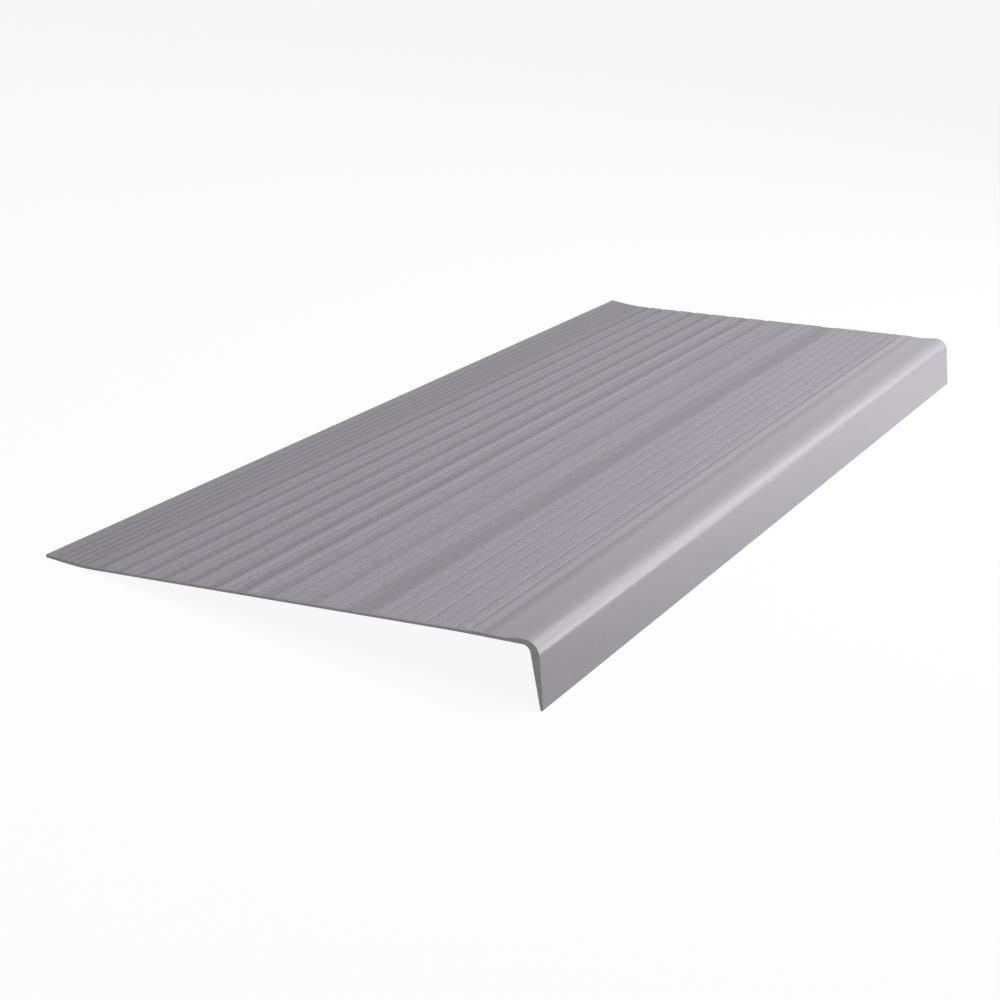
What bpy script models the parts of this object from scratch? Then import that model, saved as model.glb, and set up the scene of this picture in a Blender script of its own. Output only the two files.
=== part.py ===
"""Ribbed vinyl stair tread with a turned-down nose, extruded in one piece."""
import math

import bmesh
import bpy
from mathutils import Matrix, Vector

# Overall sizes. Depth is square to the length, from the corner where the
# tread's top and the front of the nose would meet, to the back edge.
tread_length = 0.9144
tread_depth = 0.31115
nose_height = 0.0389

# Thickness of the flat, over its ribs, and how far the plain band behind the
# nose lies below the ribs.
rib_thickness = 0.00175
band_sink = 0.00065
nose_crown = 0.0002

# Nose: the front leans forward as it goes down, and the leg thins to its tip.
front_lean = math.radians(6.0)
leg_taper = math.radians(6.5)
bend_radius = 0.0098
tip_thickness = 0.0016
inner_radius = 0.0051
root_fall = 0.00105
root_run = 0.0570

# Plain band between the bend and the first rib.
band_low = 0.0220
band_end = 0.0260
rib_rise = 0.0100

# Grooves, as distances back from the nose corner. Each has soft walls and, where
# it is wide enough, a flat floor.
groove_wall = 0.0040
fine_grooves = (0.0414, 0.0495, 0.0676, 0.0850)
fine_groove_width = 0.0032
fine_groove_depth = 0.00040
valley_place = 0.1058
valley_width = 0.0165
wide_groove_place = 0.1368
wide_groove_width = 0.0095
wide_groove_depth = 0.00032
groove_depth = 0.00050

# The main ribs get narrower towards the back.
graded_start = 0.1636
graded_pitch = 0.0183
graded_step = 0.00080
graded_count = 8
groove_share = 0.46

# Fine ribs along the back edge.
back_start = 0.2854
back_pitch = 0.0046
back_count = 5
back_groove_width = 0.0032
back_groove_depth = 0.00028

# Shallow lines along the tops of the ribs. Each graded rib has one along its middle.
rib_lines = (0.0590, 0.0760, 0.0930, 0.1180, 0.1252, 0.1452, 0.1522)
rib_line_width = 0.0036
rib_line_depth = 0.00022

# The back edge curls up, so that it lies flat when the tread rests on its nose.
curl_start = 0.2780
curl_radius = 0.1430

# How finely the curved stretches are drawn.
points_per_groove = 6
band_steps = 8
rise_steps = 4
root_steps = 8
curl_steps = 6
least_spacing = 0.0002
arc_step = math.radians(7.0)
crease_angle = math.radians(35)


def clear_scene():
    for item in list(bpy.data.objects):
        bpy.data.objects.remove(item, do_unlink=True)


def arc(centre, radius, start, end):
    """Points along an arc in the section plane, both ends included."""
    count = max(2, math.ceil(abs(end - start) / arc_step))
    points = []
    for i in range(count + 1):
        angle = start + (end - start) * i / count
        points.append(Vector((centre.x + radius * math.cos(angle), centre.y + radius * math.sin(angle))))
    return points


def smooth_step(value):
    value = min(max(value, 0.0), 1.0)
    return 0.5 - 0.5 * math.cos(math.pi * value)


def groove_list():
    """Every groove as its place, width and depth."""
    grooves = [(place, fine_groove_width, fine_groove_depth) for place in fine_grooves]
    grooves.append((valley_place, valley_width, groove_depth))
    grooves.append((wide_groove_place, wide_groove_width, wide_groove_depth))
    grooves += [(place, rib_line_width, rib_line_depth) for place in rib_lines]
    place = graded_start
    pitch = graded_pitch
    for i in range(graded_count):
        grooves.append((place, pitch * groove_share, groove_depth))
        if i < graded_count - 1:
            grooves.append((place + pitch / 2, rib_line_width, rib_line_depth))
        place += pitch
        pitch -= graded_step
    for i in range(back_count):
        grooves.append((back_start + i * back_pitch, back_groove_width, back_groove_depth))
    return sorted(grooves)


def relief(place, grooves):
    """Depth of the ribbed top below the crests at one place."""
    depth = 0.0
    for centre, width, deep in grooves:
        inside = width / 2 - abs(place - centre)
        if inside > 0.0:
            depth = max(depth, deep * smooth_step(inside / min(groove_wall, width / 2)))
    return depth


def top_height(place, crown_end, grooves):
    """Height of the top above the flat underside, from the nose back."""
    crown = (nose_crown + band_sink) * (1.0 - smooth_step((place - crown_end) / (band_low - crown_end)))
    rib = band_sink * smooth_step((place - band_end) / rib_rise)
    return rib_thickness - band_sink + crown + rib - relief(place, grooves)


def underside_height(place):
    """The underside drops a little towards the root of the nose."""
    return -root_fall * (1.0 - smooth_step(place / root_run))


def curl(place, height, angle):
    """Bend the back edge up along an arc, and carry on straight behind it."""
    if place <= curl_start:
        return Vector((place, height))
    turned = min((place - curl_start) / curl_radius, angle)
    beyond = max(place - curl_start - curl_radius * angle, 0.0)
    along = Vector((math.cos(turned), math.sin(turned)))
    across = Vector((-math.sin(turned), math.cos(turned)))
    start = Vector((curl_start, curl_radius)) - across * curl_radius
    return start + along * beyond + across * height


def places(start, end, grooves):
    """Stations along the top, close together only where it curves."""
    stations = {start, end}
    for i in range(band_steps + 1):
        stations.add(start + (band_low - start) * i / band_steps)
    for i in range(rise_steps + 1):
        stations.add(band_end + rib_rise * i / rise_steps)
    for centre, width, _ in grooves:
        for i in range(points_per_groove + 1):
            stations.add(centre + width * (i / points_per_groove - 0.5))
    ordered = sorted(s for s in stations if start <= s <= end)
    kept = [ordered[0]]
    for station in ordered[1:]:
        if station - kept[-1] > least_spacing:
            kept.append(station)
    kept[-1] = end
    return kept


def leg_points(top_level):
    """Outer bend, front, tip and inner face of the nose, from top to root."""
    lean = front_lean
    centre = Vector((bend_radius * (1 - math.sin(lean)) / math.cos(lean), top_level - bend_radius))
    bend = arc(centre, bend_radius, math.pi / 2, math.pi - lean)
    tip_radius = tip_thickness / 2
    tip_level = top_level - nose_height + tip_radius
    front_at_tip = (tip_level - top_level) * math.tan(lean)
    tip_centre = Vector((front_at_tip + tip_radius / math.cos(lean), tip_level))
    tip = arc(tip_centre, tip_radius, math.pi - lean, 2 * math.pi - lean - leg_taper)
    inner_lean = lean + leg_taper
    inner_down = Vector((-math.sin(inner_lean), -math.cos(inner_lean)))
    inner_out = Vector((math.cos(inner_lean), -math.sin(inner_lean)))
    foot = tip[-1]
    inner_level = -root_fall - inner_radius
    reach = (inner_level - (foot + inner_out * inner_radius).y) / -inner_down.y
    inner_centre = foot + inner_out * inner_radius - inner_down * reach
    root = arc(inner_centre, inner_radius, math.pi - inner_lean, math.pi / 2)
    return bend, tip, root, tip_centre, tip_radius


def rest_angle(tip_centre, tip_radius):
    """Tilt at which the nose tip and the curled back edge share one floor."""
    rise = curl_radius - tip_centre.y
    run = curl_start - tip_centre.x
    return math.acos((curl_radius - tip_radius) / math.hypot(rise, run)) - math.atan2(run, rise)


def tread_outline():
    """The closed section, as points along the depth and up, and its tilt."""
    grooves = groove_list()
    bend, tip, root, tip_centre, tip_radius = leg_points(rib_thickness + nose_crown)
    angle = rest_angle(tip_centre, tip_radius)
    crown_end = bend[0].x
    top = []
    for place in places(crown_end, tread_depth, grooves):
        top.append(curl(place, top_height(place, crown_end, grooves), angle))
    under = []
    root_end = root[-1].x
    for i in range(root_steps + 1):
        place = root_end + (root_run - root_end) * i / root_steps
        under.append(Vector((place, underside_height(place))))
    under[0] = root[-1]
    for i in range(curl_steps + 1):
        under.append(curl(curl_start + curl_radius * angle * i / curl_steps, 0.0, angle))
    under.append(curl(tread_depth, 0.0, angle))
    outline = list(reversed(top)) + bend[1:] + tip + root[:-1] + under
    return outline, angle


def build_tread():
    outline, angle = tread_outline()
    mesh = bpy.data.meshes.new("stair_tread")
    work = bmesh.new()
    corners = [work.verts.new((0.0, point.x, point.y)) for point in outline]
    end_face = work.faces.new(corners)
    swept = bmesh.ops.extrude_face_region(work, geom=[end_face])
    moved = [item for item in swept["geom"] if isinstance(item, bmesh.types.BMVert)]
    bmesh.ops.translate(work, verts=moved, vec=(tread_length, 0.0, 0.0))
    bmesh.ops.rotate(work, cent=(0, 0, 0), matrix=Matrix.Rotation(-angle, 3, "X"), verts=work.verts)
    low = Vector((min(v.co[i] for v in work.verts) for i in range(3)))
    high = Vector((max(v.co[i] for v in work.verts) for i in range(3)))
    middle = (low + high) / 2
    bmesh.ops.translate(work, verts=work.verts, vec=(-middle.x, -middle.y, -low.z))
    bmesh.ops.recalc_face_normals(work, faces=work.faces)
    work.to_mesh(mesh)
    work.free()
    mesh.shade_smooth()
    mesh.set_sharp_from_angle(angle=crease_angle)
    tread = bpy.data.objects.new("stair_tread", mesh)
    bpy.context.collection.objects.link(tread)
    return tread


def vinyl():
    material = bpy.data.materials.new("grey_vinyl")
    material.use_nodes = True
    shader = material.node_tree.nodes["Principled BSDF"]
    shader.inputs["Base Color"].default_value = (0.34, 0.33, 0.35, 1.0)
    shader.inputs["Roughness"].default_value = 0.5
    shader.inputs["Metallic"].default_value = 0.0
    return material


clear_scene()
tread = build_tread()
tread.data.materials.append(vinyl())
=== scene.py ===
# Ribbed vinyl stair tread lying on a pale floor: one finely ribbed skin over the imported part
import math

import bmesh
import bpy
from mathutils import Euler, Matrix, Vector


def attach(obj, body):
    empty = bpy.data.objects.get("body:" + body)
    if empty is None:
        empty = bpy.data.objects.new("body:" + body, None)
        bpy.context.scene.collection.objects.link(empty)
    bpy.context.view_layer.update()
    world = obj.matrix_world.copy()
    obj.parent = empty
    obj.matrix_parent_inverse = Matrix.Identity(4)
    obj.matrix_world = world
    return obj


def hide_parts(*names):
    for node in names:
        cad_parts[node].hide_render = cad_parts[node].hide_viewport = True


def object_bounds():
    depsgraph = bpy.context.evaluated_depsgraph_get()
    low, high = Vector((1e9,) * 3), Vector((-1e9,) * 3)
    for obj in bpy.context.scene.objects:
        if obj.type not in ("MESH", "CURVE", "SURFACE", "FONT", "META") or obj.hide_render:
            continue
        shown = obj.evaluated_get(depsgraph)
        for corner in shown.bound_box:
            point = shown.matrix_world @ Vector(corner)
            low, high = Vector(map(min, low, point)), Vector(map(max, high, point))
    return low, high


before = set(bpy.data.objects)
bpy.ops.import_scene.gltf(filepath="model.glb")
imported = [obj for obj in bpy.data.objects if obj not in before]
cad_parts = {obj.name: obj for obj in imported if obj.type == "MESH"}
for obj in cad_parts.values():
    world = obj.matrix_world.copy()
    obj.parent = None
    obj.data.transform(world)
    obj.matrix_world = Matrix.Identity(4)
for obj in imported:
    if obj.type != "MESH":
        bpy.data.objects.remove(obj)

mm = 0.001
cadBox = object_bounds()
print("frame loaded, nodes:", ", ".join(sorted(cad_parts)))


# small helpers

def hexToLinear(code):
    channels = []
    for start in (0, 2, 4):
        value = int(code[start:start + 2], 16) / 255
        channels.append(value / 12.92 if value <= 0.04045 else ((value + 0.055) / 1.055) ** 2.4)
    return (*channels, 1.0)


def addNode(tree, kind, settings=None, inputs=None):
    node = tree.nodes.new(kind)
    for name, value in (settings or {}).items():
        setattr(node, name, value)
    for name, value in (inputs or {}).items():
        if isinstance(value, bpy.types.NodeSocket):
            tree.links.new(value, node.inputs[name])
        else:
            node.inputs[name].default_value = value
    return node


def easeStep(value):
    value = min(max(value, 0.0), 1.0)
    return 0.5 - 0.5 * math.cos(math.pi * value)


# camera: the photograph's view of the tread, from past its near end

view = {
    "lookAt": (-0.14855, 0.00366, 0.0),   # where the middle of the picture meets the floor
    "distance": 1.62576,
    "heading": 68.826,      # degrees from +Y towards +X
    "downward": 18.296,     # degrees below the horizon
    "roll": 8.6975,
    "lens": 86.992,         # mm on a 36 mm sensor
    "sensor": 36.0,
    "nearest": 0.01,        # metres that the camera sees between
    "farthest": 50.0,
}


def makeCamera():
    data = bpy.data.cameras.new("photoCamera")
    data.lens = view["lens"]
    data.sensor_width = view["sensor"]
    data.clip_start = view["nearest"]
    data.clip_end = view["farthest"]
    camera = bpy.data.objects.new("photoCamera", data)
    bpy.context.scene.collection.objects.link(camera)
    level = Euler((math.radians(90 - view["downward"]), 0, -math.radians(view["heading"]))).to_matrix()
    turned = level @ Matrix.Rotation(math.radians(view["roll"]), 3, "Z")
    camera.rotation_euler = turned.to_euler()
    camera.location = Vector(view["lookAt"]) + turned @ Vector((0, 0, view["distance"]))
    bpy.context.scene.camera = camera


makeCamera()
print("camera made")


# the tread: the whole section is drawn as one loop, then pulled out to its length

tread = {
    "length": 914.4 * mm,
    "depth": 311.15 * mm,         # from the corner of the nose to the back edge
    "noseHeight": 38.9 * mm,
    "ribThickness": 1.75 * mm,
    "bandSink": 0.65 * mm,        # plain band behind the nose, below the ribs
    "noseCrown": 0.2 * mm,
    "frontLean": math.radians(6.0),
    "legTaper": math.radians(6.5),
    "bendRadius": 9.8 * mm,
    "tipThickness": 1.6 * mm,
    "innerRadius": 5.1 * mm,
    "rootFall": 1.05 * mm,
    "rootRun": 57.0 * mm,
    "bandLow": 22.0 * mm,
    "bandEnd": 26.0 * mm,
    "ribRise": 10.0 * mm,
    "ribStart": 38.5 * mm,        # the plain satin ends here, past the first rib
    "curlStart": 278.0 * mm,
    "curlRadius": 143.0 * mm,
    "footStart": 25.0 * mm,       # painted shade at the foot of the first rib
    "footRun": 7.0 * mm,
    "footRise": 2.5 * mm,
    "footShade": 0.85,
    "stripStart": 262.0 * mm,     # and painted shade over the back strip
    "stripRun": 30.0 * mm,
    "stripShade": 0.5,
    "evenShade": 0.25,            # plain vinyl's place between the painted-highlight colour and the painted-shade colour
    "topLevel": 0.9 * mm,         # points above this belong to the top
    "topStation": 0.45 * mm,      # spacing of the points across the ribs, then how many elsewhere
    "underStations": 60,
    "bendSteps": 24,
    "tipSteps": 10,
    "rootSteps": 14,
    "cutDrop": 0.30 * mm,         # the knife drew the top edge down at the near end
    "cutReach": 5.0 * mm,
    "cutStations": (0.25 * mm, 0.6 * mm, 1.1 * mm, 1.8 * mm, 2.7 * mm, 3.8 * mm, 5.0 * mm),
    "middleStations": 9,          # cuts along the rest of the length, so that no face is too long
    "cutGap": 0.001 * mm,         # a point this close to a cut is on it
    "crease": math.radians(40),   # edges sharper than this stay crisp
}

# Relief of the top, in mm behind the nose corner: grooves between the ribs, lines along their tops, with
# painted shade on their floors and a painted highlight on two crests
grooves = {
    "fine": (41.4, 49.5, 67.6, 85.0),
    "fineWidth": 3.2,
    "fineDepth": 0.40,
    "fineShade": 0.6,             # painted shade on a groove's floor, from 0 to 1
    "valley": 105.8,
    "valleyWidth": 16.5,
    "valleyShade": 0.65,
    "wide": 136.8,
    "wideWidth": 9.5,
    "wideDepth": 0.32,
    "wideShade": 0.45,
    "depth": 0.50,
    "wall": 4.0,                  # run of one groove wall, from crest to floor
    "shadeWall": 2.2,             # the same for the painted shade of the floor
    "shadeShift": 0.17,           # that painted shade lies back by this share of what the groove is wider than a line
    "gradedStart": 163.6,         # the main ribs get narrower towards the back
    "gradedPitch": 18.3,
    "gradedStep": 0.80,
    "gradedCount": 8,
    "gradedShare": 0.46,
    "gradedShades": (0.6, 0.85),  # of the first, and of the others
    "backStart": 285.4,
    "backPitch": 4.6,
    "backCount": 5,
    "backWidth": 3.2,
    "backDepth": 0.28,
    "backShade": 1.0,
    "lines": (59.0, 76.0, 93.0, 118.0, 125.2, 145.2, 152.2),
    "lineWidth": 3.6,
    "lineDepth": 0.22,
    "lineShade": 0.3,
    "bright": (174.8, 192.8),     # two crests with a painted highlight
    "brightWidth": 4.5,
}


def grooveList():
    # place, width, depth and painted shade of every groove, from the nose back
    g = grooves
    made = [(place, g["fineWidth"], g["fineDepth"], g["fineShade"]) for place in g["fine"]]
    made.append((g["valley"], g["valleyWidth"], g["depth"], g["valleyShade"]))
    made.append((g["wide"], g["wideWidth"], g["wideDepth"], g["wideShade"]))
    made += [(place, g["lineWidth"], g["lineDepth"], g["lineShade"]) for place in g["lines"]]
    place, pitch = g["gradedStart"], g["gradedPitch"]
    for i in range(g["gradedCount"]):
        made.append((place, pitch * g["gradedShare"], g["depth"], g["gradedShades"][min(i, 1)]))
        if i < g["gradedCount"] - 1:
            made.append((place + pitch / 2, g["lineWidth"], g["lineDepth"], g["lineShade"]))
        place += pitch
        pitch -= g["gradedStep"]
    for i in range(g["backCount"]):
        made.append((g["backStart"] + i * g["backPitch"], g["backWidth"], g["backDepth"], g["backShade"]))
    return [(place * mm, width * mm, depth * mm, shade) for place, width, depth, shade in sorted(made)]


def grooveAt(place, made):
    # depth below the crests, and how dark the painted shade, at one place
    deepest, darkest = 0.0, 0.0
    for middle, width, depth, shade in made:
        inside = width / 2 - abs(place - middle)
        deepest = max(deepest, depth * easeStep(inside / min(grooves["wall"] * mm, width / 2)))
        shift = grooves["shadeShift"] * max(0.0, width - grooves["lineWidth"] * mm)
        inside = width / 2 - abs(place - middle - shift)
        darkest = max(darkest, shade * easeStep(inside / min(grooves["shadeWall"] * mm, width / 2)))
    return deepest, darkest


def topHeight(place, crownEnd, made):
    crown = (tread["noseCrown"] + tread["bandSink"]) * (
        1.0 - easeStep((place - crownEnd) / (tread["bandLow"] - crownEnd)))
    rib = tread["bandSink"] * easeStep((place - tread["bandEnd"]) / tread["ribRise"])
    return tread["ribThickness"] - tread["bandSink"] + crown + rib - grooveAt(place, made)[0]


def shadeAt(place, made):
    # painted shade in the grooves, at the foot of the first rib and over the back strip; a painted highlight on
    # two crests
    foot = easeStep((place - tread["footStart"]) / tread["footRun"])
    foot *= 1 - easeStep((place - tread["footStart"] - tread["footRun"]) / tread["footRise"])
    back = easeStep((place - tread["stripStart"]) / tread["stripRun"])
    shade = min(1.0, max(grooveAt(place, made)[1], tread["footShade"] * foot) + tread["stripShade"] * back)
    nearest = min(abs(place - line * mm) for line in grooves["bright"])
    lit = easeStep(1 - nearest / (grooves["brightWidth"] * mm / 2))
    return tread["evenShade"] * (1 - lit) + (1 - tread["evenShade"]) * shade


def lineTo(work, vert, place, height):
    new = bmesh.ops.extrude_vert_indiv(work, verts=[vert])["verts"][0]
    new.co = Vector((0.0, place, height))
    return new


def arcTo(work, vert, centre, angle, steps):
    spun = bmesh.ops.spin(
        work, geom=[vert], cent=(0.0, *centre), axis=(1, 0, 0), dvec=(0, 0, 0),
        angle=angle, steps=steps, use_merge=False, use_duplicate=False)
    return [item for item in spun["geom_last"] if isinstance(item, bmesh.types.BMVert)][0]


def curlPoint(point, angle):
    # bends the back strip up along an arc, then on straight
    start, radius = tread["curlStart"], tread["curlRadius"]
    if point.y <= start:
        return point
    turned = min((point.y - start) / radius, angle)
    beyond = max(point.y - start - radius * angle, 0.0)
    place = start + (radius - point.z) * math.sin(turned) + beyond * math.cos(turned)
    height = radius - (radius - point.z) * math.cos(turned) + beyond * math.sin(turned)
    return Vector((point.x, place, height))


def drawSection(work):
    lean, taper = tread["frontLean"], tread["legTaper"]
    bend, tip, inner = tread["bendRadius"], tread["tipThickness"] / 2, tread["innerRadius"]
    top = tread["ribThickness"] + tread["noseCrown"]
    crownEnd = bend * (1 - math.sin(lean)) / math.cos(lean)
    tipHeight = top - tread["noseHeight"] + tip
    tipPlace = (tipHeight - top) * math.tan(lean) + tip / math.cos(lean)
    down = Vector((0, -math.sin(lean + taper), -math.cos(lean + taper)))
    out = Vector((0, math.cos(lean + taper), -math.sin(lean + taper)))
    foot = Vector((0, tipPlace, tipHeight)) + out * tip
    reach = (-tread["rootFall"] - inner - (foot + out * inner).z) / -down.z
    rootCentre = foot + out * inner - down * reach
    rootEnd = rootCentre.y
    rise, run = tread["curlRadius"] - tipHeight, tread["curlStart"] - tipPlace
    restAngle = math.acos((tread["curlRadius"] - tip) / math.hypot(rise, run)) - math.atan2(run, rise)

    # pen: bend, front, tip, inner face, fillet, underside, back edge
    first = work.verts.new((0.0, crownEnd, top))
    bendEnd = arcTo(work, first, (crownEnd, top - bend), math.pi / 2 - lean, tread["bendSteps"])
    frontFoot = lineTo(work, bendEnd, tipPlace - tip * math.cos(lean), tipHeight + tip * math.sin(lean))
    innerFoot = arcTo(work, frontFoot, (tipPlace, tipHeight), math.pi - taper, tread["tipSteps"])
    innerHead = lineTo(work, innerFoot, rootCentre.y - out.y * inner, rootCentre.z - out.z * inner)
    filletTurn = -(math.pi / 2 - lean - taper)
    filletEnd = arcTo(work, innerHead, (rootCentre.y, rootCentre.z), filletTurn, tread["rootSteps"])
    underEnd = lineTo(work, filletEnd, tread["depth"], 0.0)
    backTop = lineTo(work, underEnd, tread["depth"], tread["ribThickness"])
    topEdge = [work.edges.new((backTop, first))]
    cuts = round((tread["depth"] - crownEnd) / tread["topStation"])
    bmesh.ops.subdivide_edges(work, edges=topEdge, cuts=cuts)
    longest = 0.8 * tread["depth"]      # only the underside is still longer than this
    underEdge = [edge for edge in work.edges if edge.calc_length() > longest]
    bmesh.ops.subdivide_edges(work, edges=underEdge, cuts=tread["underStations"])

    made = grooveList()
    paintedShade = work.verts.layers.float.new("paintedShade")      # painted shade and highlight: how far the vinyl is painted towards its dark colour
    for vert in work.verts:
        vert[paintedShade] = tread["evenShade"]
        if vert.co.z > tread["topLevel"] and vert.co.y >= crownEnd:
            vert[paintedShade] = shadeAt(vert.co.y, made)
            vert.co.z = topHeight(vert.co.y, crownEnd, made)
        elif vert.co.y > rootEnd and vert.co.z > -tread["rootFall"]:
            vert.co.z = -tread["rootFall"] * (1.0 - easeStep(vert.co.y / tread["rootRun"]))
        vert.co = curlPoint(vert.co, restAngle)
    bmesh.ops.contextual_create(work, geom=work.edges[:])
    return restAngle


# which finish a face gets, by how squarely it looks along an axis
facing = {
    "end": 0.7,         # along the length
    "top": 0.5,         # up
    "level": -0.05,     # up or level
    "front": 0.7,       # towards the nose side
}


def finishOf(face):
    # 0 ribbed top, 1 satin nose and band, 2 cut ends, 3 underside and inner face of the leg
    normal, place = face.normal, face.calc_center_median().y
    if abs(normal.x) > facing["end"]:
        return 2
    if normal.z > facing["top"] and place > tread["ribStart"]:
        return 0
    if (normal.z > facing["level"] and place < tread["ribStart"]) or normal.y < -facing["front"]:
        return 1
    return 3


def makeTread(materials):
    work = bmesh.new()
    restAngle = drawSection(work)
    swept = bmesh.ops.extrude_face_region(work, geom=work.faces[:])
    moved = [item for item in swept["geom"] if isinstance(item, bmesh.types.BMVert)]
    bmesh.ops.translate(work, verts=moved, vec=(tread["length"], 0, 0))
    count = tread["middleStations"] + 1
    places = [*tread["cutStations"], *(tread["length"] * i / count for i in range(1, count))]
    for place in sorted(places):
        everything = work.verts[:] + work.edges[:] + work.faces[:]
        bmesh.ops.bisect_plane(
            work, geom=everything, dist=tread["cutGap"], plane_co=(place, 0, 0), plane_no=(1, 0, 0))
    bmesh.ops.recalc_face_normals(work, faces=work.faces[:])

    # cut edge: the crests next to the near end are drawn down a little
    for vert in work.verts:
        onRibs = tread["ribStart"] < vert.co.y < tread["curlStart"] and vert.co.z > tread["topLevel"]
        if onRibs and vert.co.x < tread["cutReach"]:
            share = 1.0 - vert.co.x / tread["cutReach"]
            vert.co.z = min(vert.co.z, tread["ribThickness"] - tread["cutDrop"] * share * share)

    for face in work.faces:
        face.material_index = finishOf(face)
        face.smooth = face.material_index != 2
    bmesh.ops.rotate(work, cent=(0, 0, 0), matrix=Matrix.Rotation(-restAngle, 3, "X"), verts=work.verts)
    low = Vector([min(vert.co[i] for vert in work.verts) for i in range(3)])
    high = Vector([max(vert.co[i] for vert in work.verts) for i in range(3)])
    boxLow, boxHigh = cadBox
    shift = (boxLow + boxHigh) / 2 - (low + high) / 2
    shift.z = boxLow.z - low.z
    bmesh.ops.translate(work, verts=work.verts, vec=shift)

    mesh = bpy.data.meshes.new("ribbed_tread")
    work.to_mesh(mesh)
    work.free()
    mesh.set_sharp_from_angle(angle=tread["crease"])
    for material in materials:
        mesh.materials.append(material)
    piece = bpy.data.objects.new("ribbed_tread", mesh)
    bpy.context.scene.collection.objects.link(piece)
    print("tread made:", len(mesh.polygons), "faces")
    return piece


# materials: one vinyl in four finishes

def startVinyl(name, finish):
    material = bpy.data.materials.new(name)
    material.use_nodes = True
    tree = material.node_tree
    shader = tree.nodes["Principled BSDF"]
    shader.inputs["Roughness"].default_value = finish["roughness"]
    shader.inputs["IOR"].default_value = finish["ior"]
    return material, tree, shader, addNode(tree, "ShaderNodeTexCoord").outputs["Object"]


def addNoise(tree, place, noise):
    # grains of one size, drawn out along an axis where the stretch is small
    drawn = addNode(tree, "ShaderNodeMapping", inputs={"Vector": place, "Scale": noise["stretch"]})
    return addNode(tree, "ShaderNodeTexNoise", inputs={
        "Vector": drawn.outputs["Vector"], "Scale": 1 / noise["size"],
        "Detail": noise["detail"], "Roughness": noise["roughness"]}).outputs["Fac"]


def addTone(tree, factor, first, second):
    # sockets 6 and 7 are the mix node's two colours, and output 2 is the blend
    return addNode(tree, "ShaderNodeMix", {"data_type": "RGBA"}, {
        "Factor": factor, 6: first, 7: second}).outputs[2]


def endVinyl(tree, shader, tone, height, depth):
    bump = addNode(tree, "ShaderNodeBump", inputs={"Strength": 1.0, "Distance": depth, "Height": height})
    tree.links.new(tone, shader.inputs["Base Color"])
    tree.links.new(bump.outputs["Normal"], shader.inputs["Normal"])


ribbedVinyl = {
    # light colour, reached only on the painted highlight of two crests, and dark colour of the painted shade in
    # the grooves, at the rib foot and on the back strip; plain vinyl lies between
    "crest": "928f96",
    "groove": "737177",
    "streaks": {"size": 2.2 * mm, "stretch": (0.03, 1.0, 1.0), "detail": 3.0, "roughness": 0.6},
    "streakTone": 0.03,     # how far the streaks stray from the even tone, and the grain below
    "grain": {"size": 1.5 * mm, "stretch": (1.0, 1.0, 1.0), "detail": 3.0, "roughness": 0.6},
    "grainTone": 0.24,
    "grainDepth": 0.09 * mm,
    "noiseLow": 0.3,        # what nearly all of a noise's values lie between
    "noiseHigh": 0.7,
    "roughness": 0.58,
    "ior": 1.54,
}


def makeRibbedVinyl():
    # plasticised PVC, extruded and lightly embossed: an even cool grey with a soft, slightly grainy sheen
    material, tree, shader, place = startVinyl("extruded vinyl, ribbed top", ribbedVinyl)
    grain = addNoise(tree, place, ribbedVinyl["grain"])
    streaks = addNoise(tree, place, ribbedVinyl["streaks"])
    # painted shade in the grooves, at the rib foot and over the back strip, and a painted highlight on two
    # crests, read from the paintedShade attribute
    paintedShade = addNode(tree, "ShaderNodeAttribute", {"attribute_name": "paintedShade"}).outputs["Fac"]
    tone = addTone(tree, paintedShade, hexToLinear(ribbedVinyl["crest"]), hexToLinear(ribbedVinyl["groove"]))
    for noise, stray in ((streaks, ribbedVinyl["streakTone"]), (grain, ribbedVinyl["grainTone"])):
        share = addNode(tree, "ShaderNodeMapRange", inputs={
            "Value": noise, "From Min": ribbedVinyl["noiseLow"], "From Max": ribbedVinyl["noiseHigh"],
            "To Min": 1 - stray, "To Max": 1 + stray})
        tone = addNode(tree, "ShaderNodeVectorMath", {"operation": "SCALE"}, {
            0: tone, "Scale": share.outputs[0]}).outputs[0]
    endVinyl(tree, shader, tone, grain, ribbedVinyl["grainDepth"])
    return material


satinVinyl = {
    "colour": "938f97",
    "mottle": "8f8b93",
    "foot": "737177",       # painted shade at the foot of the first rib
    "streaks": {"size": 3.0 * mm, "stretch": (0.02, 1.0, 1.0), "detail": 2.0, "roughness": 0.5},
    # soft waviness of the plain skin
    "waves": {"size": 4.0 * mm, "stretch": (1.0, 1.0, 1.0), "detail": 2.0, "roughness": 0.6},
    "waveDepth": 0.12 * mm,
    "roughness": 0.34,
    "ior": 1.54,
}


def makeSatinVinyl():
    # the same PVC where the die left it plain: smoother, so the nose takes a clear soft highlight
    material, tree, shader, place = startVinyl("extruded vinyl, satin nose", satinVinyl)
    streaks = addNoise(tree, place, satinVinyl["streaks"])
    tone = addTone(tree, streaks, hexToLinear(satinVinyl["colour"]), hexToLinear(satinVinyl["mottle"]))
    # painted shade at the foot of the first rib, read from the paintedShade attribute
    paintedShade = addNode(tree, "ShaderNodeAttribute", {"attribute_name": "paintedShade"}).outputs["Fac"]
    tone = addTone(tree, paintedShade, tone, hexToLinear(satinVinyl["foot"]))
    waves = addNoise(tree, place, satinVinyl["waves"])
    endVinyl(tree, shader, tone, waves, satinVinyl["waveDepth"])
    return material


cutVinyl = {
    "colour": "7c7c7e",
    "scored": "727274",
    "score": {"size": 0.5 * mm, "stretch": (1.0, 1.0, 0.15), "detail": 2.0, "roughness": 0.5},
    "scoreDepth": 0.03 * mm,
    "roughness": 0.62,
    "ior": 1.54,
}


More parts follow.
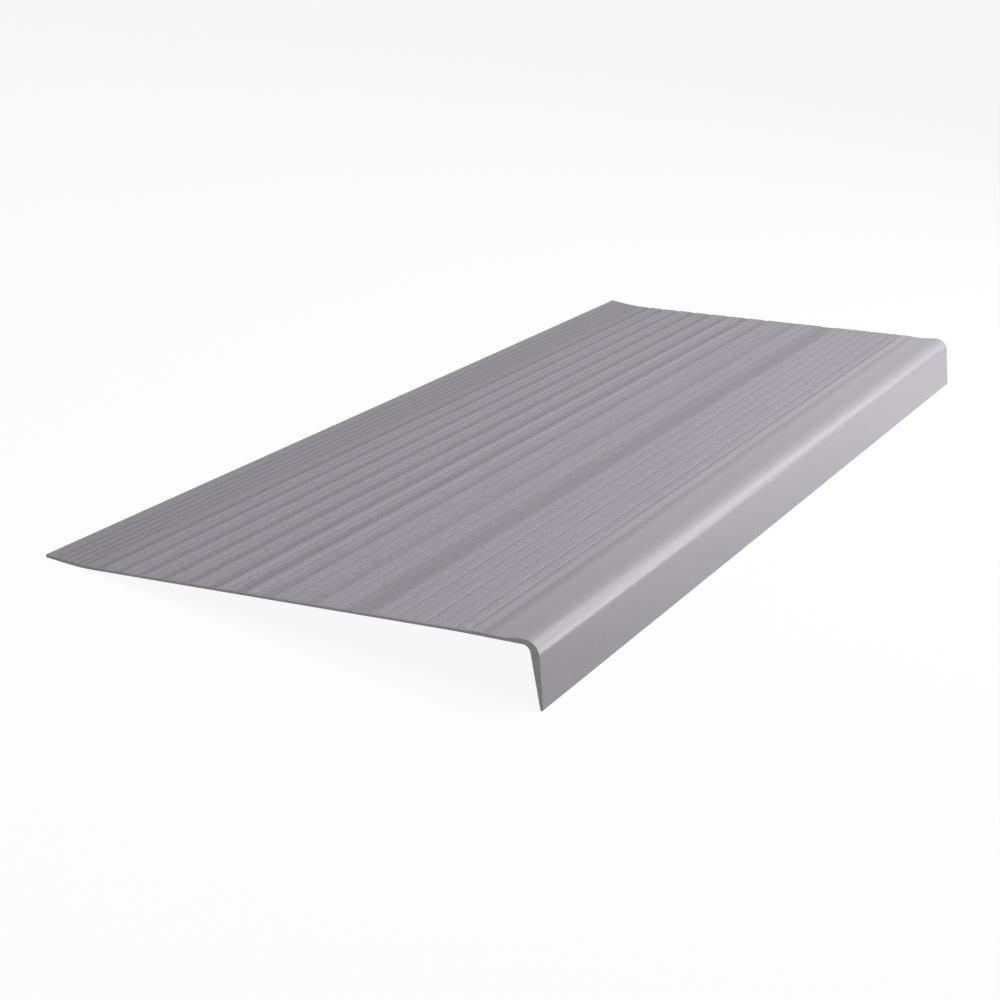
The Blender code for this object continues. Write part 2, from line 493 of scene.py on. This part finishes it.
def makeCutVinyl():
    # knife-cut PVC: dull and a little darker, with fine score lines down the cut
    material, tree, shader, place = startVinyl("knife-cut vinyl end", cutVinyl)
    score = addNoise(tree, place, cutVinyl["score"])
    tone = addTone(tree, score, hexToLinear(cutVinyl["colour"]), hexToLinear(cutVinyl["scored"]))
    endVinyl(tree, shader, tone, score, cutVinyl["scoreDepth"])
    return material


backVinyl = {
    "colour": "828084",
    "mottle": "79777c",
    "grit": {"size": 0.8 * mm, "stretch": (1.0, 1.0, 1.0), "detail": 4.0, "roughness": 0.65},
    "gritDepth": 0.06 * mm,
    "roughness": 0.70,
    "ior": 1.54,
}


def makeBackVinyl():
    # underside, roughened for the adhesive: flat and matt with a fine sanded grain
    material, tree, shader, place = startVinyl("roughened vinyl back", backVinyl)
    grit = addNoise(tree, place, backVinyl["grit"])
    tone = addTone(tree, grit, hexToLinear(backVinyl["colour"]), hexToLinear(backVinyl["mottle"]))
    endVinyl(tree, shader, tone, grit, backVinyl["gritDepth"])
    return material


treadPiece = makeTread([makeRibbedVinyl(), makeSatinVinyl(), makeCutVinyl(), makeBackVinyl()])
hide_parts("stair_tread")
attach(treadPiece, "root")
print("tread dressed:", len(treadPiece.data.materials), "materials")


# floor and light: a soft studio, brightest on the nose side

floorPlan = {
    "size": 24.0,
    "colour": "e6e6e6",
    "gap": 0.1 * mm,        # it lies this far under the tread
    "shadowShare": 0.08,    # how much of the floor's own shading the camera sees
}


def seenByLens(tree):
    # 1 for what the camera sees, straight or through something clear, otherwise 0
    path = addNode(tree, "ShaderNodeLightPath")
    return addNode(tree, "ShaderNodeMath", {"operation": "MAXIMUM"}, {
        0: path.outputs["Is Camera Ray"], 1: path.outputs["Is Transmission Ray"]}).outputs[0]


def makeFloor():
    work = bmesh.new()
    bmesh.ops.create_grid(work, x_segments=1, y_segments=1, size=floorPlan["size"] / 2)
    bmesh.ops.translate(work, verts=work.verts, vec=(0, 0, cadBox[0].z - floorPlan["gap"]))
    mesh = bpy.data.meshes.new("studio_floor")
    work.to_mesh(mesh)
    work.free()
    floor = bpy.data.objects.new("studio_floor", mesh)
    bpy.context.scene.collection.objects.link(floor)

    # painted board: white to the lens, with a faint share of its real shading so the shadow stays
    material = bpy.data.materials.new("white painted board")
    material.use_nodes = True
    tree = material.node_tree
    tree.nodes.remove(tree.nodes["Principled BSDF"])
    out = tree.nodes["Material Output"]
    paint = addNode(tree, "ShaderNodeBsdfDiffuse", inputs={"Color": hexToLinear(floorPlan["colour"])})
    glow = addNode(tree, "ShaderNodeEmission", inputs={"Color": (1, 1, 1, 1), "Strength": 1.0})
    share = addNode(tree, "ShaderNodeMath", {"operation": "MULTIPLY"}, {
        0: seenByLens(tree), 1: 1.0 - floorPlan["shadowShare"]})
    toLens = addNode(tree, "ShaderNodeMixShader", inputs={
        "Fac": share.outputs[0], 1: paint.outputs[0], 2: glow.outputs[0]})
    tree.links.new(toLens.outputs[0], out.inputs["Surface"])
    mesh.materials.append(material)


makeFloor()

studio = {
    "skySeen": 1.0,         # what the lens sees of the surroundings
    "glow": 0.41,           # even light that the vinyl's sheen picks up from all round
    "cards": (
        # brighter parts of the room in the sheen: heading from +Y towards +X, height, tightness, strength
        (75.0, 12.0, 40.0, 0.62),
        (115.0, 35.0, 14.0, 2.47),
    ),
    "softboxes": (
        # name, place, where it points, width, height, power
        ("topSoftbox", (0.55, -0.62, 1.3), (0.15, -0.1, 0.0), 0.8, 0.8, 25.7),
        ("nearSoftbox", (-0.45, -0.16, 0.75), (-0.38, -0.12, 0.0), 0.4, 0.4, 1.4),
        ("lensSoftbox", (-1.9, 0.1, 0.45), (-0.45, 0.0, 0.0), 0.7, 0.5, 9.5),
        ("backSoftbox", (-0.9, 0.9, 0.7), (-0.1, 0.0, 0.0), 0.9, 0.6, 3.0),
        ("endSoftbox", (1.3, -0.8, 0.45), (0.2, -0.1, 0.0), 0.7, 0.55, 2.9),
        ("lowStrip", (0.9, -1.0, 0.15), (0.3, -0.1, 0.02), 0.6, 0.3, 3.5),
    ),
}


def makeSky():
    # white to the lens; only the vinyl's sheen sees the glow and the cards
    world = bpy.data.worlds.new("studio")
    world.use_nodes = True
    bpy.context.scene.world = world
    tree = world.node_tree
    out = tree.nodes["World Output"]
    glossRay = addNode(tree, "ShaderNodeLightPath").outputs["Is Glossy Ray"]
    direction = addNode(tree, "ShaderNodeTexCoord").outputs["Generated"]
    bright = studio["glow"]
    for heading, height, tightness, strength in studio["cards"]:
        a, e = math.radians(heading), math.radians(height)
        towards = (math.sin(a) * math.cos(e), math.cos(a) * math.cos(e), math.sin(e))
        near = addNode(tree, "ShaderNodeVectorMath", {"operation": "DOT_PRODUCT"}, {0: direction, 1: towards})
        front = addNode(tree, "ShaderNodeMath", {"operation": "MAXIMUM"}, {0: near.outputs["Value"], 1: 0.0})
        spread = addNode(tree, "ShaderNodeMath", {"operation": "POWER"}, {0: front.outputs[0], 1: tightness})
        bright = addNode(tree, "ShaderNodeMath", {"operation": "MULTIPLY_ADD"}, {
            0: spread.outputs[0], 1: strength, 2: bright}).outputs[0]
    onlyGloss = addNode(tree, "ShaderNodeMath", {"operation": "MULTIPLY"}, {0: bright, 1: glossRay})
    sheen = addNode(tree, "ShaderNodeBackground", inputs={
        "Color": (1, 1, 1, 1), "Strength": onlyGloss.outputs[0]})
    white = addNode(tree, "ShaderNodeBackground", inputs={"Color": (1, 1, 1, 1), "Strength": studio["skySeen"]})
    mixed = addNode(tree, "ShaderNodeMixShader", inputs={
        "Fac": seenByLens(tree), 1: sheen.outputs[0], 2: white.outputs[0]})
    tree.links.new(mixed.outputs[0], out.inputs["Surface"])


def makeSoftboxes():
    for name, place, aim, wide, tall, power in studio["softboxes"]:
        data = bpy.data.lights.new(name, "AREA")
        data.shape = "RECTANGLE"
        data.size = wide
        data.size_y = tall
        data.energy = power
        lamp = bpy.data.objects.new(name, data)
        bpy.context.scene.collection.objects.link(lamp)
        lamp.location = place
        lamp.rotation_euler = (Vector(place) - Vector(aim)).to_track_quat("Z", "Y").to_euler()


makeSky()
makeSoftboxes()
bpy.context.scene.view_settings.view_transform = "Standard"
print("floor and light made")
